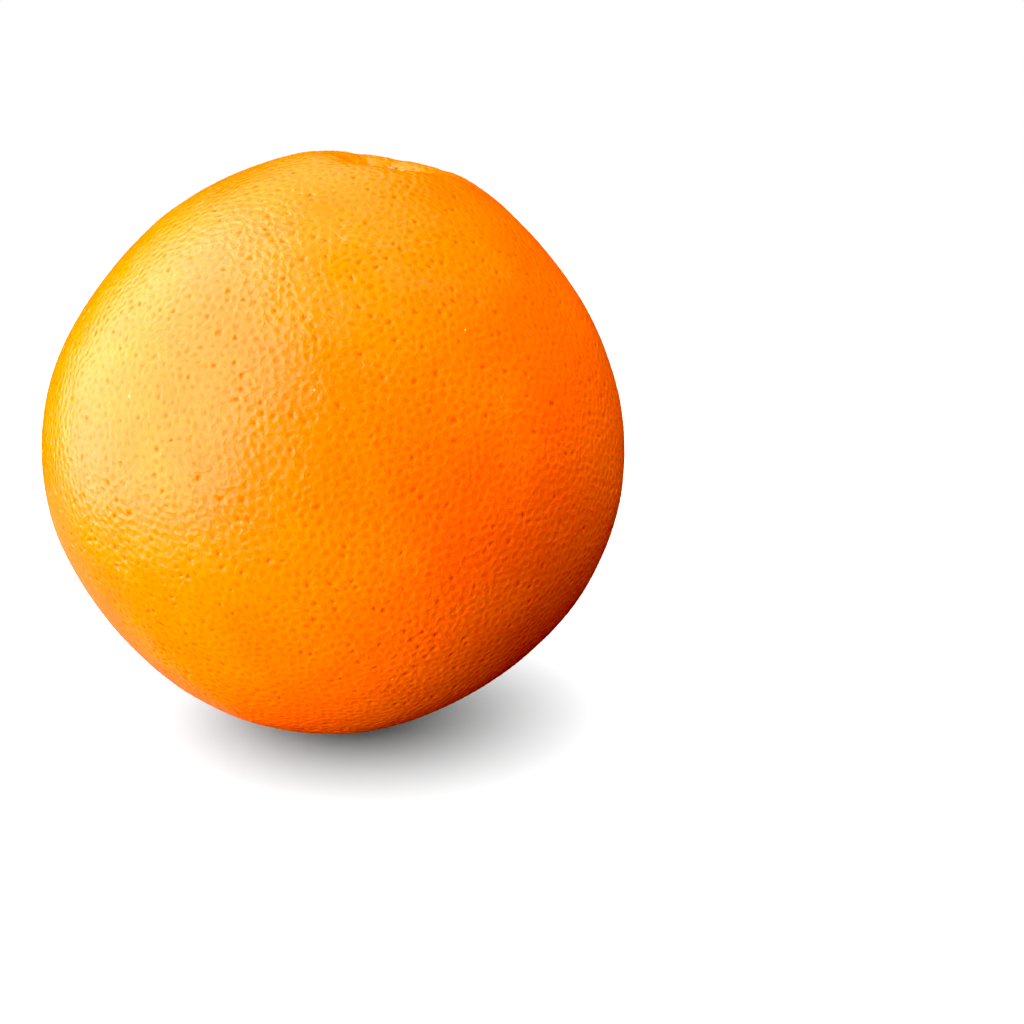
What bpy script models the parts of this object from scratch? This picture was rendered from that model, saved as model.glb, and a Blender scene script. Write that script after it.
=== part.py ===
"""A whole round orange, resting on the small flat spot that its own weight presses, with the dry
stem button in the hollow of its stem end. Metres, +Z up, the surface that it rests on at Z = 0.

The fruit is first shaped about its own stem axis, which runs from the stylar end to the stem end.
That axis then leans, because the fruit rests a little to one side of its stylar end.
"""

import math
from typing import NamedTuple

import bmesh
import bpy
from mathutils import Matrix, Vector

# --- the fruit --------------------------------------------------------------------------------
FRUIT_RADIUS = 0.0400  # mean radius of the fruit
SQUARENESS = 0.0090  # share by which poles and equator stand proud of the shoulders
STEM_HOLLOW_DEPTH = 0.0044  # how far the stem hollow sinks below the round fruit
STEM_HOLLOW_RADIUS = 0.0058  # distance from the axis at which the hollow has lost most of its depth
STYLAR_FLAT_DEPTH = 0.0005  # the stylar end is a little flatter than round
STYLAR_FLAT_RADIUS = 0.0090
REST_SPOT_RADIUS = 0.0062  # the flat spot that the fruit rests on
LEAN_ANGLE = math.radians(12.5)  # between the stem axis and the upright
LEAN_HEADING = math.radians(30.0)  # the side it leans to, counted from +X towards +Y
RINGS = 44  # faces from pole to pole
MERIDIANS = 60  # faces around the axis
POLE_CROWDING = 0.55  # share by which rings near a pole are closer than average


class Swell(NamedTuple):
    """One broad swelling of the fruit, or a flat where its height is negative."""

    colatitude: float  # degrees from the stem end
    longitude: float  # degrees around the stem axis
    width: float  # degrees at which it has fallen to a third
    height: float  # share of the fruit's radius


SWELLS = (
    Swell(colatitude=66, longitude=180, width=15, height=-0.0195),
    Swell(colatitude=115, longitude=180, width=20, height=0.0175),
    Swell(colatitude=3, longitude=0, width=19, height=0.0375),
    Swell(colatitude=141, longitude=5, width=17, height=-0.0220),
    Swell(colatitude=78, longitude=262, width=34, height=0.0060),
    Swell(colatitude=58, longitude=318, width=22, height=-0.0075),
    Swell(colatitude=118, longitude=225, width=24, height=-0.0050),
    Swell(colatitude=96, longitude=58, width=30, height=-0.0080),
    Swell(colatitude=66, longitude=112, width=24, height=0.0070),
    Swell(colatitude=124, longitude=118, width=26, height=-0.0060),
)

# --- the stem button --------------------------------------------------------------------------
BUTTON_RADIUS = 0.0025  # mean radius of the calyx, halfway along its lobes
BUTTON_LOBES = 5
LOBE_REACH = 0.25  # share by which the lobes' tips and the bays between them leave that radius
LOBE_BLUNTNESS = 0.07  # share by which the tips are rounded off
BUTTON_EDGE = 0.00035  # thickness at the lobes' edge
BUTTON_THICKNESS = 0.00080  # thickness beside the stalk
STALK_RADIUS = 0.0011  # the broken end of the stalk
STALK_HEIGHT = 0.00115  # from the underside to the stalk's rim
STALK_SCAR_DEPTH = 0.00025  # how far the middle of the broken end sinks
SEAT_GAP = 0.0003  # between the button's underside and the skin
BUTTON_SEGMENTS = 40
LOBE_RINGS = 5  # rings from the stalk's foot to the lobes' edge

# --- finishes ---------------------------------------------------------------------------------
PEEL_COLOR = (0.95, 0.32, 0.02, 1.0)
PEEL_ROUGHNESS = 0.42
BUTTON_COLOR = (0.20, 0.17, 0.06, 1.0)
BUTTON_ROUGHNESS = 0.85


def clear_scene() -> None:
    """Removes every object that is in the file."""
    for obj in list(bpy.data.objects):
        bpy.data.objects.remove(obj, do_unlink=True)


def direction(colatitude: float, longitude: float) -> Vector:
    """The unit vector at these angles, in radians, about the stem axis."""
    flat = math.sin(colatitude)
    return Vector((flat * math.cos(longitude), flat * math.sin(longitude), math.cos(colatitude)))


def sunk(distance: float, depth: float, radius: float) -> float:
    """How far a round hollow of that depth and radius sinks at a distance from the axis."""
    return depth * math.exp(-((distance / radius) ** 2))


def skin_point(colatitude: float, longitude: float) -> Vector:
    """The point of the skin at these angles, about the fruit's middle and its stem axis."""
    way = direction(colatitude, longitude)
    share = 1.0 + SQUARENESS * math.cos(4.0 * colatitude)
    for swell in SWELLS:
        top = direction(math.radians(swell.colatitude), math.radians(swell.longitude))
        away = way.angle(top) / math.radians(swell.width)
        share += swell.height * math.exp(-(away**2))
    point = way * FRUIT_RADIUS * share
    from_axis = math.hypot(point.x, point.y)
    if point.z > 0.0:
        point.z -= sunk(from_axis, STEM_HOLLOW_DEPTH, STEM_HOLLOW_RADIUS)
    else:
        point.z += sunk(from_axis, STYLAR_FLAT_DEPTH, STYLAR_FLAT_RADIUS)
    return point


def skin_above(from_axis: float, longitude: float) -> Vector:
    """The point of the skin near the stem end at a distance from the axis."""
    colatitude = math.asin(min(1.0, from_axis / FRUIT_RADIUS))
    for _ in range(6):
        found = skin_point(colatitude, longitude)
        colatitude += (from_axis - math.hypot(found.x, found.y)) / FRUIT_RADIUS
    return skin_point(colatitude, longitude)


def ring_colatitude(ring: int) -> float:
    """The colatitude of a ring. Rings crowd towards both poles."""
    share = ring / RINGS
    return math.pi * (share - POLE_CROWDING * math.sin(2.0 * math.pi * share) / (2.0 * math.pi))


def profile(mesh: bmesh.types.BMesh, outline: list[Vector]) -> list:
    """Adds a line of vertices joined by edges, and returns its geometry."""
    verts = [mesh.verts.new(point) for point in outline]
    edges = [mesh.edges.new(pair) for pair in zip(verts, verts[1:])]
    return verts + edges


def spun(outline: list[Vector], steps: int) -> bmesh.types.BMesh:
    """A closed body turned about the axis from an outline whose two ends lie on the axis."""
    mesh = bmesh.new()
    bmesh.ops.spin(
        mesh,
        geom=profile(mesh, outline),
        cent=(0.0, 0.0, 0.0),
        axis=(0.0, 0.0, 1.0),
        angle=2.0 * math.pi,
        steps=steps,
        use_merge=True,
    )
    bmesh.ops.remove_doubles(mesh, verts=mesh.verts, dist=1e-6)
    bmesh.ops.recalc_face_normals(mesh, faces=mesh.faces)
    return mesh


def press_flat(mesh: bmesh.types.BMesh, down: Vector) -> None:
    """Cuts the flat spot of REST_SPOT_RADIUS into the side that faces down, and closes it."""
    lowest = max(vert.co.dot(down) for vert in mesh.verts)
    rise = FRUIT_RADIUS - math.sqrt(FRUIT_RADIUS**2 - REST_SPOT_RADIUS**2)
    cut = bmesh.ops.bisect_plane(
        mesh,
        geom=mesh.verts[:] + mesh.edges[:] + mesh.faces[:],
        plane_co=down * (lowest - rise),
        plane_no=down,
        clear_outer=True,
    )
    rim = [item for item in cut["geom_cut"] if isinstance(item, bmesh.types.BMEdge)]
    bmesh.ops.contextual_create(mesh, geom=rim)


def fruit_mesh(down: Vector) -> bmesh.types.BMesh:
    """The whole fruit about its stem axis, with its flat spot on the side that faces down."""
    outline = [
        direction(ring_colatitude(ring), 0.0) * FRUIT_RADIUS for ring in range(RINGS + 1)
    ]
    mesh = spun(outline, MERIDIANS)
    for vert in mesh.verts:
        colatitude = math.acos(max(-1.0, min(1.0, vert.co.z / vert.co.length)))
        vert.co = skin_point(colatitude, math.atan2(vert.co.y, vert.co.x))
    press_flat(mesh, down)
    return mesh


def button_reach(longitude: float) -> float:
    """How far the calyx reaches from the axis at this longitude."""
    lobes = LOBE_REACH * math.cos(BUTTON_LOBES * longitude)
    blunt = LOBE_BLUNTNESS * math.cos(2.0 * BUTTON_LOBES * longitude)
    return BUTTON_RADIUS * (1.0 + lobes - blunt)


def button_rings() -> list[tuple[float, float, float]]:
    """(share of the way from the stalk to the edge, radius on the stalk, height of the top).

    A ring on the stalk has a negative share.
    """
    rings = [
        (-1.0, 0.55 * STALK_RADIUS, STALK_HEIGHT - STALK_SCAR_DEPTH),
        (-1.0, 0.85 * STALK_RADIUS, STALK_HEIGHT),
    ]
    for ring in range(LOBE_RINGS + 1):
        share = ring / LOBE_RINGS
        height = BUTTON_EDGE + (BUTTON_THICKNESS - BUTTON_EDGE) * (1.0 - share**2)
        rings.append((share, STALK_RADIUS, height))
    return rings


def button_mesh() -> bmesh.types.BMesh:
    """The lobed calyx with the broken stalk in its middle, seated on the skin of the hollow."""
    mesh = bmesh.new()
    rings = button_rings()
    floor = skin_above(0.0, 0.0).z + SEAT_GAP
    layers = []
    for upper in (True, False):
        grid = []
        for share, radius, height in rings:
            ring = []
            for step in range(BUTTON_SEGMENTS):
                longitude = 2.0 * math.pi * step / BUTTON_SEGMENTS
                reach = radius + max(share, 0.0) * (button_reach(longitude) - radius)
                point = skin_above(reach, longitude)
                point.z += SEAT_GAP + (height if upper else 0.0)
                ring.append(mesh.verts.new(point))
            grid.append(ring)
        top = STALK_HEIGHT - STALK_SCAR_DEPTH if upper else 0.0
        layers.append((mesh.verts.new((0.0, 0.0, floor + top)), grid))
    for middle, grid in layers:
        for step in range(BUTTON_SEGMENTS):
            after = (step + 1) % BUTTON_SEGMENTS
            mesh.faces.new((middle, grid[0][step], grid[0][after]))
            for inner, outer in zip(grid, grid[1:]):
                mesh.faces.new((inner[step], outer[step], outer[after], inner[after]))
    for step in range(BUTTON_SEGMENTS):
        after = (step + 1) % BUTTON_SEGMENTS
        top_edge, low_edge = layers[0][1][-1], layers[1][1][-1]
        mesh.faces.new((top_edge[step], low_edge[step], low_edge[after], top_edge[after]))
    bmesh.ops.recalc_face_normals(mesh, faces=mesh.faces)
    return mesh


def finish(name: str, color: tuple, roughness: float) -> bpy.types.Material:
    """A plain Principled material of that colour and roughness."""
    material = bpy.data.materials.new(name)
    material.use_nodes = True
    shader = material.node_tree.nodes["Principled BSDF"]
    shader.inputs["Base Color"].default_value = color
    shader.inputs["Roughness"].default_value = roughness
    shader.inputs["Metallic"].default_value = 0.0
    return material


def add_piece(
    name: str,
    mesh: bmesh.types.BMesh,
    material: bpy.types.Material,
    parent: bpy.types.Object,
) -> bpy.types.Object:
    """Makes a smooth-shaded object of the mesh, placed by its parent."""
    data = bpy.data.meshes.new(name)
    mesh.to_mesh(data)
    mesh.free()
    data.materials.append(material)
    data.shade_smooth()
    data.set_sharp_from_angle(angle=math.radians(50.0))
    piece = bpy.data.objects.new(name, data)
    bpy.context.scene.collection.objects.link(piece)
    piece.parent = parent
    return piece


def stand_on_floor(axis: bpy.types.Object, fruit: bpy.types.Object) -> None:
    """Moves the stem axis so that the fruit's box stands centred on the origin, at Z = 0."""
    points = [axis.matrix_basis @ vert.co for vert in fruit.data.vertices]
    low = Vector([min(point[i] for point in points) for i in range(3)])
    high = Vector([max(point[i] for point in points) for i in range(3)])
    axis.location = -Vector(((low.x + high.x) / 2.0, (low.y + high.y) / 2.0, low.z))


def main() -> None:
    """Builds the orange."""
    clear_scene()
    stem = direction(LEAN_ANGLE, LEAN_HEADING)
    lean = Vector((0.0, 0.0, 1.0)).rotation_difference(stem)
    down = lean.inverted() @ Vector((0.0, 0.0, -1.0))

    axis = bpy.data.objects.new("stem_axis", None)
    axis.rotation_euler = lean.to_euler()
    bpy.context.scene.collection.objects.link(axis)

    peel = finish("peel", PEEL_COLOR, PEEL_ROUGHNESS)
    dry_calyx = finish("dry_calyx", BUTTON_COLOR, BUTTON_ROUGHNESS)
    fruit = add_piece("fruit", fruit_mesh(down), peel, axis)
    add_piece("stem_button", button_mesh(), dry_calyx, axis)
    stand_on_floor(axis, fruit)


main()
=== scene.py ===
"""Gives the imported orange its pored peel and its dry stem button, on a plain pale stage.

Sizes are in metres. The stem axis is the line from the fruit's middle to its stem end.
"""

import logging
import math
from dataclasses import dataclass, field
from enum import Enum
from typing import Callable

import bmesh
import bpy
import numpy as np
from mathutils import Matrix, Vector

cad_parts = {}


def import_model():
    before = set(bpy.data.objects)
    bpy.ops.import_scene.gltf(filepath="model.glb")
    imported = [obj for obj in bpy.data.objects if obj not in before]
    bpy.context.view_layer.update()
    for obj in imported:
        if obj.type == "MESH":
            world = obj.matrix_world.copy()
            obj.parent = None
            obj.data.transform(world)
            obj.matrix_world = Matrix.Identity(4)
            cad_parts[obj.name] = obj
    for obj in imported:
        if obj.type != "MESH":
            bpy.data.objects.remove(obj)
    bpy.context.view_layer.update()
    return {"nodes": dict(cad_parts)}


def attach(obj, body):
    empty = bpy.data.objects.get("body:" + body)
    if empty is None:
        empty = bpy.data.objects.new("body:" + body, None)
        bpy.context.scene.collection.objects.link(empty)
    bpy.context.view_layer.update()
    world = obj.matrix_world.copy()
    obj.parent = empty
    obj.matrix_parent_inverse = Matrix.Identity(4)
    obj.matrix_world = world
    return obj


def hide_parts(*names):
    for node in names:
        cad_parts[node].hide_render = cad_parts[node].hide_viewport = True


LOG = logging.getLogger("orange")

Colour = tuple[float, float, float]


# --- hand tools ---------------------------------------------------------------------------------


def only(piece: bpy.types.Object) -> None:
    """Deselects everything, then selects this piece and makes it active.

    Args:
        piece: The object that the next operators act on.
    """
    bpy.ops.object.select_all(action="DESELECT")
    piece.select_set(True)
    bpy.context.view_layer.objects.active = piece


def modify(piece: bpy.types.Object, kind: str, **settings: object) -> None:
    """Adds one modifier to a piece, sets it and applies it.

    Args:
        piece: The piece to modify.
        kind: Blender's name of the modifier's type.
        **settings: The modifier's properties.
    """
    only(piece)
    modifier = piece.modifiers.new(kind.title(), kind)
    for name, value in settings.items():
        setattr(modifier, name, value)
    bpy.ops.object.modifier_apply(modifier=modifier.name)


def pick(piece: bpy.types.Object, part: str, wanted: Callable[[object], bool]) -> int:
    """Selects some of a piece's vertices, edges or faces in edit mode, and nothing else.

    Args:
        piece: The piece that is in edit mode.
        part: "VERT", "EDGE" or "FACE".
        wanted: Says of one element whether it is selected.

    Returns:
        How many were selected.
    """
    bpy.ops.mesh.select_mode(type=part)
    bpy.ops.mesh.select_all(action="DESELECT")
    mesh = bmesh.from_edit_mesh(piece.data)
    elements = {"VERT": mesh.verts, "EDGE": mesh.edges, "FACE": mesh.faces}[part]
    picked = [element for element in elements if wanted(element)]
    for element in picked:
        element.select_set(True)
    bmesh.update_edit_mesh(piece.data)
    return len(picked)


def places(piece: bpy.types.Object) -> np.ndarray:
    """Reads the places of a piece's vertices, one row each."""
    flat = np.empty(len(piece.data.vertices) * 3, dtype=np.float32)
    piece.data.vertices.foreach_get("co", flat)
    return flat.reshape(-1, 3).astype(float)


def weigh(piece: bpy.types.Object, name: str, weights: np.ndarray) -> str:
    """Gives a piece a vertex group with one weight per vertex.

    Args:
        piece: The piece.
        name: The group's name.
        weights: A number from 0 to 1 for each vertex.

    Returns:
        The group's name, for a modifier.
    """
    group = piece.vertex_groups.new(name=name)
    for index in np.flatnonzero(weights > 1e-4):
        group.add([int(index)], float(weights[index]), "REPLACE")
    return name


def mark(piece: bpy.types.Object, name: str, values: np.ndarray) -> None:
    """Stores one number per vertex under a name that the piece's material reads."""
    attribute = piece.data.attributes.new(name, "FLOAT", "POINT")
    attribute.data.foreach_set("value", values.astype(np.float32))


def smooth_step(values: np.ndarray, low: float, high: float) -> np.ndarray:
    """Rises smoothly from 0 at the low value to 1 at the high one."""
    share = np.clip((values - low) / (high - low), 0.0, 1.0)
    return share * share * (3.0 - 2.0 * share)


@dataclass(frozen=True)
class StemAxis:
    """The line from the fruit's middle to its stem end.

    Attributes:
        middle: The fruit's middle.
        lean: Degrees between the axis and the upright.
        heading: The side it leans to, in degrees from +X towards +Y.
    """

    middle: Vector
    lean: float = 12.5
    heading: float = 30.0

    @property
    def way(self) -> Vector:
        """The unit vector towards the stem end."""
        lean, heading = math.radians(self.lean), math.radians(self.heading)
        flat = math.sin(lean)
        return Vector((flat * math.cos(heading), flat * math.sin(heading), math.cos(lean)))

    @property
    def turn(self) -> Matrix:
        """Turns the upright into the stem axis."""
        return Vector((0.0, 0.0, 1.0)).rotation_difference(self.way).to_matrix()

    def local(self, points: np.ndarray) -> np.ndarray:
        """Gives points in a frame at the fruit's middle whose Z is the stem axis."""
        return (points - np.array(self.middle)) @ np.array(self.turn)


# --- finishes -----------------------------------------------------------------------------------


class Seen(Enum):
    """What the materials read from the pieces' vertices."""

    CELL = "cell"
    DEPTH = "depth"
    TENDER = "tender"
    WOOD = "wood"
    RIB = "rib"
    RIM = "rim"


class Nodes:
    """Lays out the nodes of one material or group."""

    def __init__(self, tree: bpy.types.NodeTree) -> None:
        """Takes an empty node tree."""
        self.tree = tree

    def add(self, kind: str, settings: dict | None = None, **inputs: object) -> bpy.types.Node:
        """Adds a node, sets its properties, and links or sets its inputs.

        Args:
            kind: The node's type, without "ShaderNode".
            settings: The node's own properties.
            **inputs: A socket to link or a value to set, for each input. An underscore in its
                name stands for a space.

        Returns:
            The node.
        """
        node = self.tree.nodes.new("ShaderNode" + kind)
        for name, value in (settings or {}).items():
            setattr(node, name, value)
        for name, value in inputs.items():
            self.feed(node, name.replace("_", " "), value)
        return node

    def feed(self, node: bpy.types.Node, key: str | int, value: object) -> None:
        """Links a socket to a node's input, or sets the input to a constant."""
        if isinstance(value, bpy.types.NodeSocket):
            self.tree.links.new(value, node.inputs[key])
        else:
            node.inputs[key].default_value = value

    def math(self, operation: str, *values: object) -> bpy.types.NodeSocket:
        """Adds a Math node and returns its result."""
        node = self.add("Math", {"operation": operation})
        for index, value in enumerate(values):
            self.feed(node, index, value)
        return node.outputs[0]

    def ramp(self, value: object, low: object, high: float, to_low: float = 0.0,
             to_high: float = 1.0) -> bpy.types.NodeSocket:
        """Maps a value smoothly from one range to another and returns the result."""
        node = self.add(
            "MapRange", {"interpolation_type": "SMOOTHSTEP"}, Value=value, From_Min=low,
            From_Max=high, To_Min=to_low, To_Max=to_high,
        )
        return node.outputs["Result"]

    def times(self, first: object, second: object) -> bpy.types.NodeSocket:
        """Multiplies two numbers and returns the result."""
        return self.math("MULTIPLY", first, second)

    def seen(self, what: Seen) -> bpy.types.Node:
        """Adds a node that reads what the piece's vertices carry."""
        return self.add("Attribute", {"attribute_name": what.value})

    def blend(self, factor: object, first: object, second: object) -> bpy.types.NodeSocket:
        """Mixes two colours and returns the result."""
        node = self.add("Mix", {"data_type": "RGBA"})
        for key, value in ((0, factor), (6, first), (7, second)):
            if isinstance(value, tuple) and len(value) == 3:
                value = (*value, 1.0)
            self.feed(node, key, value)
        return node.outputs[2]

    def noise(self, where: bpy.types.NodeSocket, size: float, detail: float = 2.0,
              roughness: float = 0.5, distortion: float = 0.0) -> bpy.types.NodeSocket:
        """Adds noise whose lumps are about this size and returns its value."""
        node = self.add(
            "TexNoise", Vector=where, Scale=1.0 / size, Detail=detail, Roughness=roughness,
            Distortion=distortion,
        )
        return node.outputs[0]

    def bump(self, height: object, size: float, under: bpy.types.NodeSocket | None = None,
             sinks: bool = False) -> bpy.types.NodeSocket:
        """Adds relief of this size on top of the relief under it and returns the normal.

        Args:
            height: The relief, from 0 to 1.
            size: How high or deep it is, in metres.
            under: The normal of the relief under it.
            sinks: Whether it goes inwards.

        Returns:
            The normal.
        """
        node = self.add("Bump", {"invert": sinks}, Strength=1.0, Distance=size, Height=height)
        if under is not None:
            self.feed(node, "Normal", under)
        return node.outputs[0]

    def group(self, tree: bpy.types.NodeTree, where: bpy.types.NodeSocket,
              given: dict[str, float]) -> bpy.types.NodeSocket:
        """Adds a shader group at a place with its numbers and returns its value."""
        node = self.add("Group", {"node_tree": tree}, Where=where)
        for name, value in given.items():
            node.inputs[name].default_value = value
        return node.outputs[0]


def new_group(name: str, inputs: dict[str, float], outputs: tuple[str, ...]) -> bpy.types.NodeTree:
    """Makes an empty shader group that takes a place and some numbers.

    Args:
        name: The group's name.
        inputs: Each number's name and usual value. A place called Where comes first.
        outputs: The names of the values that it puts out.

    Returns:
        The group.
    """
    group = bpy.data.node_groups.new(name, "ShaderNodeTree")
    group.interface.new_socket("Where", in_out="INPUT", socket_type="NodeSocketVector")
    for key, value in inputs.items():
        socket = group.interface.new_socket(key, in_out="INPUT", socket_type="NodeSocketFloat")
        socket.default_value = value
    for key in outputs:
        group.interface.new_socket(key, in_out="OUTPUT", socket_type="NodeSocketFloat")
    return group


def specks_group() -> bpy.types.NodeTree:
    """Tiny round specks strewn at random: one in a few cells holds one.

    Returns:
        A group that takes the cells' density, the specks' size as a share of a cell and how rare
        they are, and puts out a mask.
    """
    group = new_group("Specks", {"Per metre": 300.0, "Size": 0.1, "Rarity": 0.8}, ("Mask",))
    nodes = Nodes(group)
    given = group.nodes.new("NodeGroupInput").outputs
    cells = nodes.add("TexVoronoi", Vector=given["Where"], Scale=given["Per metre"])
    inside = nodes.math("LESS_THAN", cells.outputs["Distance"], given["Size"])
    lot = nodes.add("SeparateColor", Color=cells.outputs["Color"])
    drawn = nodes.math("GREATER_THAN", lot.outputs[0], given["Rarity"])
    result = group.nodes.new("NodeGroupOutput")
    group.links.new(nodes.math("MULTIPLY", inside, drawn), result.inputs["Mask"])
    return group


def grain_group() -> bpy.types.NodeTree:
    """Fine uneven grain, as the surface of a dry or waxy skin has.

    Returns:
        A group that takes the size of the grain and puts out a height from 0 to 1.
    """
    group = new_group("Fine grain", {"Per metre": 3000.0}, ("Height",))
    nodes = Nodes(group)
    given = group.nodes.new("NodeGroupInput").outputs
    coarse = nodes.add(
        "TexNoise", Vector=given["Where"], Scale=given["Per metre"], Detail=3.0, Roughness=0.6,
    )
    result = group.nodes.new("NodeGroupOutput")
    group.links.new(coarse.outputs[0], result.inputs["Height"])
    return group


@dataclass(frozen=True)
class Effects:
    """The shader groups that more than one finish uses."""

    specks: bpy.types.NodeTree
    grain: bpy.types.NodeTree


@dataclass(frozen=True)
class PeelFinish:
    """Fresh orange peel: deep orange, waxy and semi-matte, with redder oil pores whose colour is
    partly painted shade in the pits.

    Attributes:
        deep: Colour of the peel's darker patches.
        light: Colour of its lighter patches.
        pore: Colour at the bottom of the oil pores: partly their own redder tint, partly painted
            shade in the pits.
        tender: Colour of the paler skin by the stem.
        speck: Colour of the small pale specks and scratches.
        bruise: Colour of the few dark marks.
        bounced: Colour of the light that it throws on its surroundings.
        roughness: How matt the wax is.
        pit: How deep the narrow middle of a pore is.
        bowl: How deep the shallow bowl around it is.
        uneven: How high the skin's small uneven lumps are.
        grain: How high the wax's own grain is.
    """

    deep: Colour = (0.93, 0.120, 0.0004)
    light: Colour = (0.97, 0.148, 0.0006)
    pore: Colour = (0.92, 0.078, 0.0003)
    tender: Colour = (0.90, 0.19, 0.006)
    speck: Colour = (0.98, 0.50, 0.20)
    bruise: Colour = (0.40, 0.05, 0.003)
    bounced: Colour = (0.34, 0.31, 0.30)
    roughness: float = 0.235
    pit: float = 0.00009
    bowl: float = 0.000027
    uneven: float = 0.00016
    grain: float = 0.000010

    def material(self, effects: Effects) -> bpy.types.Material:
        """Builds the material.

        Args:
            effects: The shared shader groups.

        Returns:
            The peel's material.
        """
        material = bpy.data.materials.new("orange_peel")
        material.use_nodes = True
        nodes = Nodes(material.node_tree)
        shader = material.node_tree.nodes["Principled BSDF"]
        where = nodes.add("TexCoord").outputs["Object"]
        away = self.from_pore(nodes, where)
        deep = nodes.ramp(nodes.seen(Seen.DEPTH).outputs["Fac"], 0.28, 0.75)
        # Partly painted shade: the pores' redder colour darkens the pits' bottoms and the bowls
        # round them.
        spot = self.pore_tint_and_shade(nodes, where, away, deep)
        gloss = nodes.ramp(
            nodes.noise(where, 0.006, detail=4.0), 0.3, 0.7,
            self.roughness - 0.03, self.roughness + 0.04,
        )
        colour = self.colours(nodes, where, spot, effects)
        bounces = nodes.add("LightPath").outputs["Is Diffuse Ray"]
        nodes.feed(shader, "Base Color", nodes.blend(bounces, colour, self.bounced))
        nodes.feed(shader, "Roughness", gloss)
        nodes.feed(shader, "Specular IOR Level", nodes.ramp(spot, 0.0, 0.8, 0.5, 0.26))
        nodes.feed(shader, "Normal", self.relief(nodes, where, away, deep, effects))
        shader.inputs["IOR"].default_value = 1.40
        shader.inputs["Subsurface Weight"].default_value = 0.10
        shader.inputs["Subsurface Radius"].default_value = (1.0, 0.25, 0.05)
        shader.inputs["Subsurface Scale"].default_value = 0.0020
        return material

    def pore_tint_and_shade(self, nodes: Nodes, where: bpy.types.NodeSocket, away: bpy.types.NodeSocket,
              deep: bpy.types.NodeSocket) -> bpy.types.NodeSocket:
        """How much of the pores' colour shows: a soft wash, and a dot in the deep pores; partly the
        oil glands' own redder tint, partly painted shade in the pits.
        """
        dot = nodes.times(nodes.ramp(away, 0.22, 0.02), nodes.ramp(deep, 0.0, 1.0, 0.10, 0.70))
        patch = nodes.ramp(nodes.noise(where, 0.0016), 0.40, 0.62, 0.22, 0.62)
        wash = nodes.times(nodes.ramp(away, 0.36, 0.08), patch)
        return nodes.math("ADD", dot, wash)

    def colours(self, nodes: Nodes, where: bpy.types.NodeSocket, spot: bpy.types.NodeSocket,
                effects: Effects) -> bpy.types.NodeSocket:
        """The skin's colour: patches, paler skin by the stem, pores (partly painted shade in the
        pits), mottling and marks.
        """
        patches = nodes.ramp(nodes.noise(where, 0.022, detail=3.0, roughness=0.55), 0.35, 0.65)
        colour = nodes.blend(patches, self.deep, self.light)
        tender = nodes.times(nodes.seen(Seen.TENDER).outputs["Fac"], 0.8)
        colour = nodes.blend(tender, colour, self.tender)
        fine = nodes.ramp(nodes.noise(where, 0.00055, detail=2.0), 0.48, 0.66, 0.0, 0.22)
        # The pores' colour here is partly their own tint and partly painted shade in the pits.
        colour = nodes.blend(nodes.math("MAXIMUM", spot, fine), colour, self.pore)
        return self.marked(nodes, where, colour, effects)

    def relief(self, nodes: Nodes, where: bpy.types.NodeSocket, away: bpy.types.NodeSocket,
               deep: bpy.types.NodeSocket, effects: Effects) -> bpy.types.NodeSocket:
        """The fine relief: small lumps, a bowl and a pit at each pore, and the wax's grain."""
        lumps = nodes.noise(where, 0.0010, detail=2.0, roughness=0.55, distortion=0.3)
        wide = nodes.ramp(nodes.noise(where, 0.009, detail=2.0), 0.38, 0.62, 0.42, 0.62)
        pit = nodes.times(nodes.ramp(away, 0.30, 0.03), nodes.ramp(deep, 0.0, 1.0, 0.12, 1.0))
        grain = nodes.group(effects.grain, where, {"Per metre": 3600.0})
        normal = nodes.bump(lumps, self.uneven)
        normal = nodes.bump(nodes.ramp(away, wide, 0.20), self.bowl, normal, sinks=True)
        normal = nodes.bump(pit, self.pit, normal, sinks=True)
        return nodes.bump(grain, self.grain, normal)

    def from_pore(self, nodes: Nodes, where: bpy.types.NodeSocket) -> bpy.types.NodeSocket:
        """How far a point lies from the nearest pore, as a share of the way to the next one.

        Every point lies between three pores. Its shares in them add up to one, and the nearest
        pore is the one with the largest share.
        """
        cell = nodes.seen(Seen.CELL).outputs["Vector"]
        shares = nodes.add("SeparateXYZ", Vector=cell).outputs
        largest = nodes.math("MAXIMUM", shares[0], nodes.math("MAXIMUM", shares[1], shares[2]))
        least = nodes.math("MINIMUM", shares[0], nodes.math("MINIMUM", shares[1], shares[2]))
        others = nodes.math("SUBTRACT", 1.0, largest)
        product = nodes.times(least, nodes.math("SUBTRACT", others, least))
        square = nodes.math("SUBTRACT", nodes.times(others, others), product)
        away = nodes.math("SQRT", nodes.math("MAXIMUM", square, 0.0))
        uneven = nodes.math("MULTIPLY_ADD", nodes.noise(where, 0.0007), 0.24, -0.12)
        return nodes.math("ADD", away, uneven)

    def marked(self, nodes: Nodes, where: bpy.types.NodeSocket, colour: bpy.types.NodeSocket,
               effects: Effects) -> bpy.types.NodeSocket:
        """Adds the pale specks, the few dark marks and the faint scratches to a colour."""
        for rarity, per_metre, size, strength, tint in (
            (0.80, 210.0, 0.034, 0.70, self.speck),
            (0.92, 95.0, 0.028, 0.50, self.bruise),
        ):
            specks = nodes.group(
                effects.specks, where, {"Per metre": per_metre, "Size": size, "Rarity": rarity}
            )
            colour = nodes.blend(nodes.times(specks, strength), colour, tint)
        patch = nodes.ramp(nodes.noise(where, 0.011), 0.62, 0.70)
        line = nodes.noise(where, 0.0045, detail=1.0, distortion=0.3)
        off_line = nodes.math("ABSOLUTE", nodes.math("SUBTRACT", line, 0.5))
        thin = nodes.ramp(off_line, 0.0, 0.010, 1.0, 0.0)
        return nodes.blend(nodes.times(nodes.times(thin, patch), 0.12), colour, self.speck)


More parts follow.
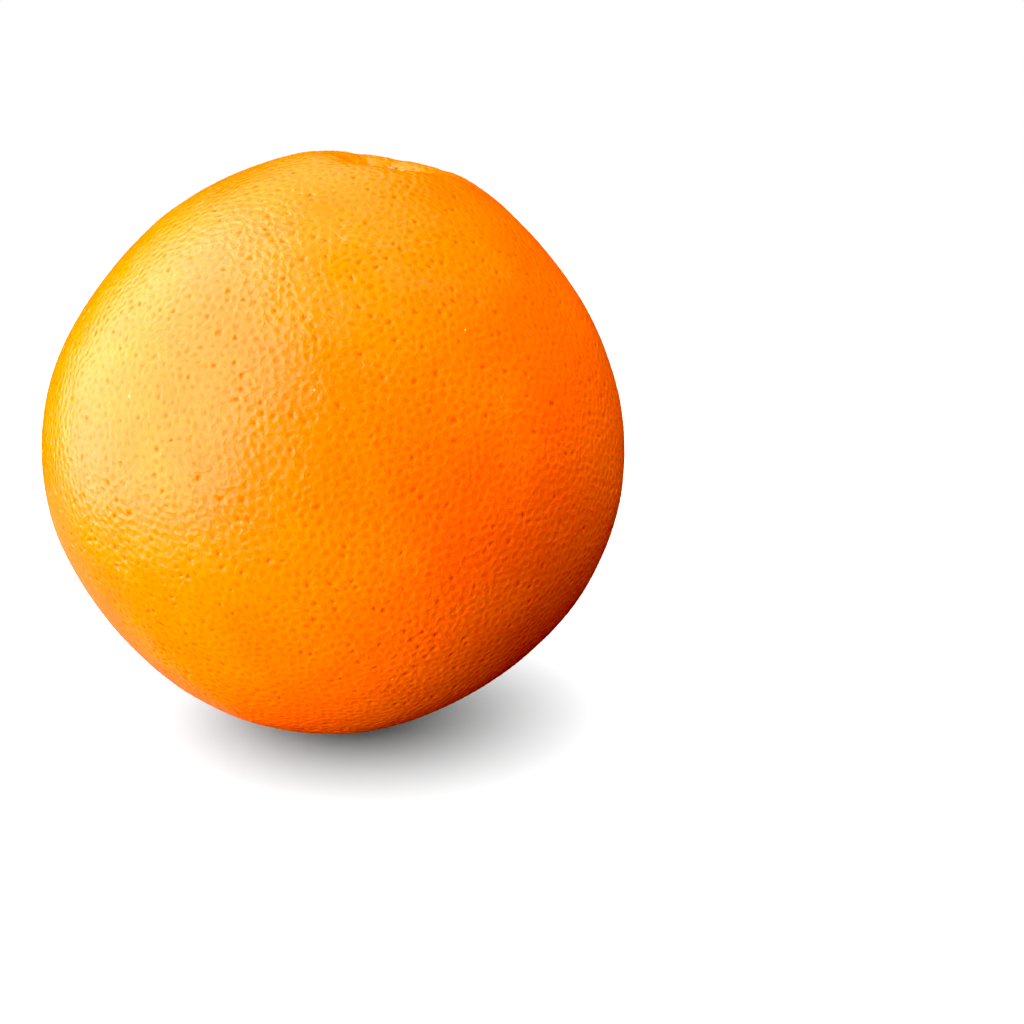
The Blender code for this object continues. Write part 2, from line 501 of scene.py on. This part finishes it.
@dataclass(frozen=True)
class CalyxFinish:
    """The dry stem button: dull olive lobes with pale ribs, and a broken end of wood.

    Attributes:
        green: Colour of the lobes where some green is left.
        brown: Colour where they have dried.
        rib: Colour of their ribs.
        rim: Colour of their dead edges.
        wood: Colour of the broken end of the stalk.
        core: Colour of its fibres and cracks.
        roughness: How matt it all is.
        grain: How high its fine grain is.
    """

    green: Colour = (0.145, 0.165, 0.040)
    brown: Colour = (0.185, 0.115, 0.040)
    rib: Colour = (0.330, 0.290, 0.130)
    rim: Colour = (0.075, 0.045, 0.020)
    wood: Colour = (0.430, 0.310, 0.170)
    core: Colour = (0.120, 0.075, 0.038)
    roughness: float = 0.84
    grain: float = 0.00007

    def material(self, effects: Effects) -> bpy.types.Material:
        """Builds the material.

        Args:
            effects: The shared shader groups.

        Returns:
            The stem button's material.
        """
        material = bpy.data.materials.new("dry_calyx")
        material.use_nodes = True
        nodes = Nodes(material.node_tree)
        shader = material.node_tree.nodes["Principled BSDF"]
        where = nodes.add("TexCoord").outputs["Object"]
        wood, rib, rim = (
            nodes.seen(what).outputs["Fac"] for what in (Seen.WOOD, Seen.RIB, Seen.RIM)
        )
        grain = nodes.group(effects.grain, where, {"Per metre": 5200.0})
        coarse = nodes.noise(where, 0.0009, detail=4.0, roughness=0.6)
        leaf = nodes.blend(nodes.ramp(coarse, 0.40, 0.60), self.green, self.brown)
        leaf = nodes.blend(nodes.times(rib, 0.75), leaf, self.rib)
        leaf = nodes.blend(nodes.times(rim, 0.85), leaf, self.rim)
        end = nodes.blend(nodes.ramp(grain, 0.44, 0.62), self.wood, self.core)
        colour = nodes.blend(wood, leaf, end)
        specks = nodes.group(
            effects.specks, where, {"Per metre": 3200.0, "Size": 0.30, "Rarity": 0.80}
        )
        colour = nodes.blend(nodes.times(specks, 0.45), colour, self.core)
        nodes.feed(shader, "Base Color", colour)
        nodes.feed(shader, "Normal", nodes.bump(grain, self.grain))
        shader.inputs["Roughness"].default_value = self.roughness
        return material


# --- the peel -----------------------------------------------------------------------------------


@dataclass
class Peel:
    """The pored skin of the whole fruit.

    Attributes:
        axis: The fruit's stem axis.
        finish: Its finish.
        pore_gap: The least distance between two pores.
        radius: The radius of the ball that carries the pores before it is laid on the fruit.
        deep_share: The share of the pores that are deep pits.
        pit_depth: How far the deepest pores sink.
        ridge_height: How far the skin rises between the pores.
        swell_height: Height of the broad unevenness.
        dent_height: Height of the smaller unevenness.
        pore_wall: How far a pore's first ring sinks, as a share of its middle.
        furrow_depth: How deep the furrows round the stem are.
        furrow_start: The distance from the stem axis at which they start.
        furrow_full: The distance at which they are fully there.
        furrow_reach: How far they reach from the stem axis.
        furrows: How many there are.
        tender_reach: How far the paler skin round the stem reaches.
        scar_radius: Radius of the scar at the stylar end.
        scar_depth: How far that scar sinks.
        seed: What all its chances are drawn from.
    """

    axis: StemAxis
    finish: PeelFinish
    pore_gap: float = 0.00107
    radius: float = 0.0395
    deep_share: float = 0.11
    pit_depth: float = 0.00013
    ridge_height: float = 0.00003
    swell_height: float = 0.00028
    dent_height: float = 0.00010
    pore_wall: float = 0.30
    furrow_depth: float = 0.00055
    furrow_start: float = 0.0020
    furrow_full: float = 0.0042
    furrow_reach: float = 0.0095
    furrows: int = 9
    tender_reach: float = 0.0085
    scar_radius: float = 0.0016
    scar_depth: float = 0.0005
    seed: int = 11

    def build(self, cad_fruit: bpy.types.Object, effects: Effects) -> bpy.types.Object:
        """Makes the peel around the CAD fruit.

        Args:
            cad_fruit: The CAD model's fruit, which stays as it is.
            effects: The shared shader groups.

        Returns:
            The finished peel.
        """
        core = self.smooth_core(cad_fruit)
        peel = self.strewn_ball()
        pores = len(peel.data.vertices)
        self.divide(peel)
        modify(peel, "SHRINKWRAP", target=core, wrap_method="PROJECT", use_negative_direction=True)
        bpy.data.objects.remove(core, do_unlink=True)
        self.swell(peel)
        self.furrow(peel)
        self.sink_pores(peel, pores)
        self.stand_flat(peel)
        only(peel)
        bpy.ops.object.shade_smooth()
        peel.data.materials.clear()
        peel.data.materials.append(self.finish.material(effects))
        return peel

    def smooth_core(self, cad_fruit: bpy.types.Object) -> bpy.types.Object:
        """Copies the CAD fruit and rounds off its facets, all but the flat spot's plane."""
        core = bpy.data.objects.new("core", cad_fruit.data.copy())
        bpy.context.scene.collection.objects.link(core)
        only(core)
        bpy.ops.object.mode_set(mode="EDIT")
        bpy.ops.mesh.select_all(action="SELECT")
        bpy.ops.mesh.remove_doubles(threshold=1e-6)
        bpy.ops.mesh.tris_convert_to_quads()
        pick(
            core, "FACE",
            lambda face: face.normal.z < -0.999 and face.calc_center_median().z < 1e-5,
        )
        bpy.ops.mesh.dissolve_faces()
        bpy.ops.mesh.inset(thickness=0.0006)
        bpy.ops.object.mode_set(mode="OBJECT")
        modify(core, "SUBSURF", levels=2, render_levels=2)
        return core

    def strewn_ball(self) -> bpy.types.Object:
        """A ball with one vertex for each pore, strewn as unevenly as pores grow."""
        bpy.ops.object.select_all(action="DESELECT")
        bpy.ops.mesh.primitive_ico_sphere_add(subdivisions=5, radius=self.radius)
        ball = bpy.context.object
        ball.name = "pored_peel"
        modify(ball, "NODES", node_group=self.strewing())
        bpy.ops.object.mode_set(mode="EDIT")
        bpy.ops.mesh.select_all(action="SELECT")
        bpy.ops.mesh.quads_convert_to_tris()
        bpy.ops.mesh.normals_make_consistent(inside=False)
        bpy.ops.transform.translate(value=self.axis.middle)
        bpy.ops.object.mode_set(mode="OBJECT")
        return ball

    def strewing(self) -> bpy.types.NodeTree:
        """Strews points over a ball, no two nearer than the pores' gap, and joins neighbours."""
        tree = bpy.data.node_groups.new("strewn pores", "GeometryNodeTree")
        for side in ("INPUT", "OUTPUT"):
            tree.interface.new_socket("Geometry", in_out=side, socket_type="NodeSocketGeometry")
        ball = tree.nodes.new("NodeGroupInput").outputs[0]
        strewn = tree.nodes.new("GeometryNodeDistributePointsOnFaces")
        strewn.distribute_method = "POISSON"
        strewn.inputs["Distance Min"].default_value = self.pore_gap
        strewn.inputs["Density Max"].default_value = 6e6
        strewn.inputs["Seed"].default_value = self.seed
        place = tree.nodes.new("GeometryNodeInputPosition").outputs[0]
        outward = tree.nodes.new("ShaderNodeVectorMath")
        outward.operation = "NORMALIZE"
        grown = tree.nodes.new("ShaderNodeVectorMath")
        grown.operation = "SCALE"
        grown.inputs["Scale"].default_value = self.radius
        moved = tree.nodes.new("GeometryNodeSetPosition")
        joined = tree.nodes.new("GeometryNodeConvexHull")
        done = tree.nodes.new("NodeGroupOutput")
        for start, end in (
            (ball, strewn.inputs[0]),
            (strewn.outputs[0], moved.inputs[0]),
            (place, outward.inputs[0]),
            (outward.outputs[0], grown.inputs[0]),
            (grown.outputs[0], moved.inputs["Position"]),
            (moved.outputs[0], joined.inputs[0]),
            (joined.outputs[0], done.inputs[0]),
        ):
            tree.links.new(start, end)
        return tree

    def divide(self, peel: bpy.types.Object) -> None:
        """Divides the skin so that every pore gets a ring of its own and ridges around it.

        Each corner first notes its share in the three pores of its triangle, which the division
        carries on to the new corners.
        """
        shares = peel.data.attributes.new(Seen.CELL.value, "FLOAT_VECTOR", "CORNER")
        whole = np.tile(np.eye(3, dtype=np.float32), (len(peel.data.polygons), 1))
        shares.data.foreach_set("vector", whole.ravel())
        only(peel)
        bpy.ops.object.mode_set(mode="EDIT")
        bpy.ops.mesh.select_all(action="SELECT")
        bpy.ops.mesh.subdivide(number_cuts=2)
        bpy.ops.object.mode_set(mode="OBJECT")

    def free(self, peel: bpy.types.Object) -> np.ndarray:
        """0 where the skin lies on its rest, rising to 1 a little above."""
        return smooth_step(places(peel)[:, 2], 0.0002, 0.003)

    def swell(self, peel: bpy.types.Object) -> None:
        """Gives the skin the broad and the small unevenness of a grown fruit."""
        free = weigh(peel, "free", self.free(peel))
        for name, size, height in (
            ("swells", 0.014, self.swell_height),
            ("dents", 0.0042, self.dent_height),
        ):
            texture = bpy.data.textures.new(name, "CLOUDS")
            texture.noise_scale = size
            texture.noise_depth = 1
            modify(
                peel, "DISPLACE", texture=texture, texture_coords="LOCAL", strength=height,
                mid_level=0.5, vertex_group=free,
            )

    def furrow(self, peel: bpy.types.Object) -> None:
        """Draws the skin into uneven furrows round the stem, and sinks the stylar scar."""
        local = self.axis.local(places(peel))
        from_axis = np.hypot(local[:, 0], local[:, 1])
        around = np.arctan2(local[:, 1], local[:, 0])
        top = local[:, 2] > 0.0
        wander = 0.35 * np.sin(2.0 * around + 0.7) + 0.22 * np.sin(3.0 * around + 2.1)
        wave = 0.5 + 0.5 * np.cos(self.furrows * around + wander * 3.0 + from_axis * 60.0)
        strength = 0.55 + 0.45 * np.sin(2.0 * around + 1.3) * np.cos(around)
        near = smooth_step(from_axis, self.furrow_start, self.furrow_full)
        near *= np.exp(-((from_axis / self.furrow_reach) ** 2))
        depth = np.where(top, wave**3 * near * strength, 0.0)
        modify(
            peel, "DISPLACE", strength=-self.furrow_depth, mid_level=0.0,
            vertex_group=weigh(peel, "furrows", np.clip(depth, 0.0, 1.0)),
        )
        dip = np.exp(-((from_axis / self.scar_radius) ** 4))
        modify(
            peel, "DISPLACE", strength=-self.scar_depth, mid_level=0.0,
            vertex_group=weigh(peel, "scar", np.where(top, 0.0, dip)),
        )
        tender = np.exp(-((from_axis / self.tender_reach) ** 2))
        mark(peel, Seen.TENDER.value, np.where(top, tender, 0.0))

    def sink_pores(self, peel: bpy.types.Object, pores: int) -> None:
        """Sinks each pore to its own depth and raises the skin between the pores.

        Args:
            peel: The divided skin.
            pores: How many of its first vertices are the pores' middles.
        """
        count = len(peel.data.vertices)
        flat = np.empty(len(peel.data.edges) * 2, dtype=np.int64)
        peel.data.edges.foreach_get("vertices", flat)
        ends = flat.reshape(-1, 2)
        spokes = np.concatenate((ends[ends[:, 0] < pores], ends[ends[:, 1] < pores][:, ::-1]))
        depth = np.zeros(count)
        depth[:pores] = self.pore_depths(pores)
        depth[spokes[:, 1]] = depth[spokes[:, 0]]
        sunk = np.zeros(count)
        sunk[spokes[:, 1]] = self.pore_wall
        sunk[:pores] = 1.0
        ridge = (sunk == 0.0).astype(float)
        modify(
            peel, "DISPLACE", strength=self.ridge_height, mid_level=0.0,
            vertex_group=weigh(peel, "ridges", ridge * self.free(peel)),
        )
        modify(
            peel, "DISPLACE", strength=-self.pit_depth, mid_level=0.0,
            vertex_group=weigh(peel, "pits", depth * sunk),
        )
        mark(peel, Seen.DEPTH.value, depth)

    def pore_depths(self, pores: int) -> np.ndarray:
        """Draws each pore's depth: most are shallow and a few are deep pits."""
        draw = np.random.default_rng(self.seed)
        shallow = 0.08 + 0.24 * draw.random(pores)
        deep = 0.62 + 0.38 * draw.random(pores)
        return np.where(draw.random(pores) < self.deep_share, deep, shallow)

    def stand_flat(self, peel: bpy.types.Object) -> None:
        """Keeps the skin from reaching below the surface that it stands on."""
        for vertex in peel.data.vertices:
            vertex.co.z = max(vertex.co.z, 0.0)


# --- the stem button ----------------------------------------------------------------------------


@dataclass
class StemButton:
    """The dry lobed calyx with the broken end of the stalk in its middle.

    Attributes:
        axis: The fruit's stem axis.
        finish: Its finish.
        mesh_size: Size of its faces before they are refined.
        lobes: How many lobes it has.
        stalk: Radius of the stalk.
        reach: How far the lobes' tips reach from the axis.
        rib_width: Width of a lobe's rib.
        rib_height: How far a rib stands proud.
        groove_depth: How deep the groove round the stalk is.
        curl_height: How far the tip that curls most has lifted.
        wrinkle_height: How high the wrinkles of the dried lobes are.
        crack_depth: How deep the cracks in the broken end are.
        seed: What the lobes' lifts are drawn from.
    """

    axis: StemAxis
    finish: CalyxFinish
    mesh_size: float = 0.00009
    lobes: int = 5
    stalk: float = 0.0011
    reach: float = 0.0029
    rib_width: float = 0.00013
    rib_height: float = 0.00009
    groove_depth: float = 0.00016
    curl_height: float = 0.00030
    wrinkle_height: float = 0.00022
    crack_depth: float = 0.00030
    seed: int = 5

    def build(self, cad_button: bpy.types.Object, effects: Effects) -> bpy.types.Object:
        """Makes the stem button from a copy of the CAD one.

        Args:
            cad_button: The CAD model's stem button, which stays as it is.
            effects: The shared shader groups.

        Returns:
            The finished stem button.
        """
        button = bpy.data.objects.new("dry_stem_button", cad_button.data.copy())
        bpy.context.scene.collection.objects.link(button)
        only(button)
        bpy.ops.object.mode_set(mode="EDIT")
        bpy.ops.mesh.select_all(action="SELECT")
        bpy.ops.mesh.remove_doubles(threshold=1e-6)
        bpy.ops.object.mode_set(mode="OBJECT")
        modify(button, "REMESH", mode="VOXEL", voxel_size=self.mesh_size)
        modify(button, "SMOOTH", factor=0.5, iterations=4)
        modify(button, "SUBSURF", levels=1, render_levels=1)
        self.curl(button)
        self.shape_lobes(button)
        self.break_stalk(button)
        only(button)
        bpy.ops.object.shade_smooth()
        button.data.materials.clear()
        button.data.materials.append(self.finish.material(effects))
        return button

    def polar(self, button: bpy.types.Object) -> tuple[np.ndarray, np.ndarray, np.ndarray]:
        """Gives each vertex's distance from the axis, its angle round it and its height."""
        local = self.axis.local(places(button))
        return np.hypot(local[:, 0], local[:, 1]), np.arctan2(local[:, 1], local[:, 0]), local[:, 2]

    def curl(self, button: bpy.types.Object) -> None:
        """Lifts the lobes' tips, each by its own share, as they do when they dry."""
        away, around, _ = self.polar(button)
        lifts = np.random.default_rng(self.seed).random(self.lobes)
        lobe = np.round(around / (2.0 * math.pi) * self.lobes).astype(int) % self.lobes
        lift = lifts[lobe] * smooth_step(away, 1.6 * self.stalk, self.reach)
        modify(
            button, "DISPLACE", strength=self.curl_height, mid_level=0.0, direction="Z",
            vertex_group=weigh(button, "curl", lift),
        )

    def shape_lobes(self, button: bpy.types.Object) -> None:
        """Raises the lobes' ribs, sinks the groove round the stalk and wrinkles the lobes."""
        away, around, _ = self.polar(button)
        step = 2.0 * math.pi / self.lobes
        off_rib = (around + step / 2.0) % step - step / 2.0
        sideways = away * np.sin(off_rib)
        on_lobe = smooth_step(away, 1.15 * self.stalk, 1.6 * self.stalk)
        rib = np.exp(-((sideways / self.rib_width) ** 2)) * on_lobe
        for side in (-1.0, 1.0):
            branch = sideways - side * 0.55 * (away - 1.5 * self.stalk)
            rib = np.maximum(rib, 0.6 * np.exp(-((branch / (0.7 * self.rib_width)) ** 2)) * on_lobe)
        rib *= 1.0 - smooth_step(away, 0.85 * self.reach, 1.05 * self.reach)
        modify(
            button, "DISPLACE", strength=self.rib_height, mid_level=0.0,
            vertex_group=weigh(button, "ribs", rib),
        )
        groove = np.exp(-(((away - 1.25 * self.stalk) / (0.16 * self.stalk)) ** 2))
        modify(
            button, "DISPLACE", strength=-self.groove_depth, mid_level=0.0,
            vertex_group=weigh(button, "groove", groove),
        )
        texture = bpy.data.textures.new("wrinkles", "CLOUDS")
        texture.noise_scale = 0.00055
        texture.noise_depth = 2
        modify(
            button, "DISPLACE", texture=texture, texture_coords="LOCAL", mid_level=0.5,
            strength=self.wrinkle_height, vertex_group=weigh(button, "lobes", on_lobe),
        )
        edge = smooth_step(self.from_middle_of_lobe(away, off_rib * self.lobes), 0.80, 0.98)
        mark(button, Seen.RIB.value, rib)
        mark(button, Seen.RIM.value, edge * on_lobe)

    def from_middle_of_lobe(self, away: np.ndarray, turn: np.ndarray) -> np.ndarray:
        """How far out a point lies, as a share of the calyx's reach at that angle."""
        reach = 0.81 + 0.25 * np.cos(turn) - 0.06 * np.cos(2.0 * turn)
        return away / (self.reach * reach)

    def break_stalk(self, button: bpy.types.Object) -> None:
        """Cracks the broken end of the stalk and leaves a ring of bark round it."""
        away, around, height = self.polar(button)
        low, high = np.quantile(height[away < self.stalk], (0.60, 0.75))
        top = smooth_step(height, low, high)
        end = (1.0 - smooth_step(away, 0.72 * self.stalk, 0.86 * self.stalk)) * top
        texture = bpy.data.textures.new("cracks", "VORONOI")
        texture.noise_scale = 0.00034
        texture.weight_1 = -1.0
        texture.weight_2 = 1.0
        modify(
            button, "DISPLACE", texture=texture, texture_coords="LOCAL", mid_level=0.5,
            strength=self.crack_depth, vertex_group=weigh(button, "end", end),
        )
        bark = np.exp(-(((away - 0.90 * self.stalk) / (0.12 * self.stalk)) ** 2)) * top
        uneven = 0.6 + 0.4 * np.sin(7.0 * around + 1.0) * np.sin(3.0 * around)
        modify(
            button, "DISPLACE", strength=0.5 * self.groove_depth, mid_level=0.0,
            vertex_group=weigh(button, "bark", bark * uneven),
        )
        mark(button, Seen.WOOD.value, end)


# --- the stage ----------------------------------------------------------------------------------


@dataclass
class Stage:
    """The plain pale floor, which fades into the white surroundings.

    Attributes:
        radius: How far the floor reaches.
        fade_from: The distance from the middle at which it starts to fade.
        fade_to: The distance at which it has gone.
        colour: Its colour.
        dull: The share of its light that reaches the fruit from the right (+X).
    """

    radius: float = 2.0
    fade_from: float = 0.12
    fade_to: float = 0.42
    colour: Colour = (0.82, 0.82, 0.82)
    dull: float = 0.08

    def build(self) -> bpy.types.Object:
        """Makes the floor."""
        bpy.ops.object.select_all(action="DESELECT")
        bpy.ops.mesh.primitive_circle_add(vertices=96, radius=self.radius, fill_type="NGON")
        floor = bpy.context.object
        floor.name = "floor"
        floor.data.materials.append(self.material())
        floor.visible_glossy = False
        return floor

    def material(self) -> bpy.types.Material:
        """A matt pale floor that is clear far from the middle, as seen straight on."""
        material = bpy.data.materials.new("pale_floor")
        material.use_nodes = True
        nodes = Nodes(material.node_tree)
        path = nodes.add("LightPath").outputs
        where = nodes.add("TexCoord").outputs["Object"]
        across = nodes.add("SeparateXYZ", Vector=where).outputs[0]
        dulled = nodes.times(nodes.ramp(across, -0.03, 0.05), path["Is Diffuse Ray"])
        dull = tuple(share * self.dull for share in self.colour)
        matt = nodes.add("BsdfDiffuse")
        nodes.feed(matt, "Color", nodes.blend(dulled, self.colour, dull))
        away = nodes.add("VectorMath", {"operation": "LENGTH"})
        nodes.feed(away, 0, where)
        gone = nodes.ramp(away.outputs["Value"], self.fade_from, self.fade_to)
        mix = nodes.add("MixShader")
        nodes.feed(mix, 0, nodes.times(gone, path["Is Camera Ray"]))
        nodes.feed(mix, 1, matt.outputs[0])
        nodes.feed(mix, 2, nodes.add("BsdfTransparent").outputs[0])
        output = material.node_tree.nodes["Material Output"]
        nodes.feed(output, "Surface", mix.outputs[0])
        return material


@dataclass(frozen=True)
class Softbox:
    """One rectangular studio light that faces the fruit.

    Attributes:
        name: What it is.
        azimuth: Where it stands, in degrees from the front (-Y) towards the left (-X).
        elevation: How high it stands, in degrees.
        distance: From the fruit's middle.
        width: Its size sideways.
        height: Its size upwards.
        radiance: How bright its face is.
        mirrored: Whether the wax of the skin mirrors it.
        only_fruit: Whether only the fruit receives its light and blocks it, so that the floor stays
            unlit by it.
    """

    name: str
    azimuth: float
    elevation: float
    distance: float
    width: float
    height: float
    radiance: float
    mirrored: bool = False
    only_fruit: bool = False

    def build(self, target: Vector, fruit: bpy.types.Collection) -> bpy.types.Object:
        """Hangs the light.

        Args:
            target: The point that it faces.
            fruit: The fruit's pieces.

        Returns:
            The light.
        """
        azimuth, elevation = math.radians(self.azimuth), math.radians(self.elevation)
        flat = math.cos(elevation)
        way = Vector((-flat * math.sin(azimuth), -flat * math.cos(azimuth), math.sin(elevation)))
        data = bpy.data.lights.new(self.name, "AREA")
        data.shape = "RECTANGLE"
        data.size = self.width
        data.size_y = self.height
        data.energy = self.radiance * math.pi * self.width * self.height
        light = bpy.data.objects.new(self.name, data)
        light.matrix_world = (
            Matrix.Translation(target + way * self.distance)
            @ way.to_track_quat("Z", "Y").to_matrix().to_4x4()
        )
        light.visible_camera = False
        light.visible_glossy = self.mirrored
        if self.only_fruit:
            light.light_linking.receiver_collection = fruit
            light.light_linking.blocker_collection = fruit
        bpy.context.scene.collection.objects.link(light)
        return light


@dataclass
class Tent:
    """A white cloth dome over the stage, which lights the matt skin but not its gloss.

    Attributes:
        radius: Its radius.
        radiance: How bright the cloth is.
        shade: The share of its light that it loses towards the flag way.
        flag: The way in which it glows least, low down on the right-hand front side.
    """

    radius: float = 2.5
    radiance: float = 2.4
    shade: float = 0.92
    flag: tuple[float, float, float] = (0.74, -0.58, -0.34)

    def build(self) -> bpy.types.Object:
        """Pitches the tent."""
        bpy.ops.object.select_all(action="DESELECT")
        bpy.ops.mesh.primitive_ico_sphere_add(subdivisions=3, radius=self.radius)
        tent = bpy.context.object
        tent.name = "tent"
        bpy.ops.object.mode_set(mode="EDIT")
        pick(tent, "FACE", lambda face: face.calc_center_median().z < -0.05)
        bpy.ops.mesh.delete(type="FACE")
        bpy.ops.mesh.select_all(action="SELECT")
        bpy.ops.mesh.flip_normals()
        bpy.ops.object.mode_set(mode="OBJECT")
        tent.data.materials.append(self.material())
        tent.visible_camera = False
        tent.visible_glossy = False
        tent.visible_shadow = False
        return tent

    def material(self) -> bpy.types.Material:
        """Cloth that glows evenly, and less towards the low right-hand front side."""
        material = bpy.data.materials.new("lit_cloth")
        material.use_nodes = True
        nodes = Nodes(material.node_tree)
        across = nodes.add("VectorMath", {"operation": "DOT_PRODUCT"})
        nodes.feed(across, 0, nodes.add("TexCoord").outputs["Object"])
        nodes.feed(across, 1, self.flag)
        share = nodes.times(across.outputs["Value"], 1.0 / self.radius)
        glow = nodes.add("Emission")
        nodes.feed(
            glow, "Strength",
            nodes.ramp(share, 0.10, 0.90, self.radiance, self.radiance * (1.0 - self.shade)),
        )
        output = material.node_tree.nodes["Material Output"]
        nodes.feed(output, "Surface", glow.outputs[0])
        return material


@dataclass
class Studio:
    """The lights and the white surroundings.

    Attributes:
        boxes: The studio lights.
        tent: The cloth dome.
    """

    boxes: tuple[Softbox, ...] = (
        Softbox("window", 81, 25, 0.60, 1.20, 1.30, radiance=3.7, mirrored=True, only_fruit=True),
        Softbox("canopy", 150, 55, 0.60, 0.70, 0.70, radiance=0.6, mirrored=True, only_fruit=True),
        Softbox("wrap", 46, 8, 0.60, 0.60, 0.60, radiance=2.3, only_fruit=True),
        Softbox("fill", -60, 62, 0.60, 0.50, 0.50, radiance=0.5, only_fruit=True),
        Softbox(
            "skirting", 145, -33, 0.60, 0.35, 0.30, radiance=0.30, mirrored=True, only_fruit=True,
        ),
    )
    tent: Tent = field(default_factory=Tent)

    def build(self, target: Vector, pieces: tuple[bpy.types.Object, ...]) -> None:
        """Hangs the lights and paints the surroundings white.

        Args:
            target: The point that the lights face.
            pieces: The fruit's pieces.
        """
        fruit = bpy.data.collections.new("lit_fruit")
        for piece in pieces:
            fruit.objects.link(piece)
        for box in self.boxes:
            box.build(target, fruit)
        self.tent.build()
        world = bpy.data.worlds.new("studio")
        world.use_nodes = True
        bpy.context.scene.world = world
        nodes = Nodes(world.node_tree)
        background = world.node_tree.nodes["Background"]
        nodes.feed(background, "Color", (1.0, 1.0, 1.0, 1.0))
        nodes.feed(background, "Strength", nodes.add("LightPath").outputs["Is Camera Ray"])


@dataclass
class Viewpoint:
    """The camera, which looks down on the fruit and leaves room on its right.

    Attributes:
        aim: The point that it looks at.
        distance: How far it is from that point.
        elevation: How steeply it looks down, in degrees.
        lens: Focal length, in millimetres.
        black: How bright a point is that is still shown as black.
    """

    aim: Vector = field(default_factory=lambda: Vector((0.0247, -0.0030, 0.0307)))
    distance: float = 0.395
    elevation: float = 18.0
    lens: float = 100.0
    black: float = 0.028

    def build(self) -> None:
        """Sets up the camera and the plain picture tones."""
        elevation = math.radians(self.elevation)
        way = Vector((0.0, -math.cos(elevation), math.sin(elevation)))
        data = bpy.data.cameras.new("camera")
        data.lens = self.lens
        data.clip_start = 0.01
        camera = bpy.data.objects.new("camera", data)
        camera.location = self.aim + way * self.distance
        camera.rotation_euler = way.to_track_quat("Z", "Y").to_euler()
        scene = bpy.context.scene
        scene.collection.objects.link(camera)
        scene.camera = camera
        scene.view_settings.view_transform = "Standard"
        scene.view_settings.use_curve_mapping = True
        scene.view_settings.curve_mapping.black_level = (self.black, self.black, self.black)
        scene.view_settings.curve_mapping.update()


def main() -> None:
    """Dresses the orange and sets the stage."""
    logging.basicConfig(level=logging.INFO, format="%(name)s: %(message)s")
    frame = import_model()
    effects = Effects(specks_group(), grain_group())
    axis = StemAxis(Vector((0.0002, 0.0001, 0.0395)))

    peel = Peel(axis, PeelFinish()).build(frame["nodes"]["fruit"], effects)
    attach(peel, "root")
    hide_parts("fruit")
    LOG.info("peel: %d faces", len(peel.data.polygons))

    button = StemButton(axis, CalyxFinish()).build(frame["nodes"]["stem_button"], effects)
    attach(button, "root")
    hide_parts("stem_button")
    LOG.info("stem button: %d faces", len(button.data.polygons))

    Stage().build()
    Studio().build(axis.middle, (peel, button))
    Viewpoint().build()


if __name__ == "__main__":
    main()
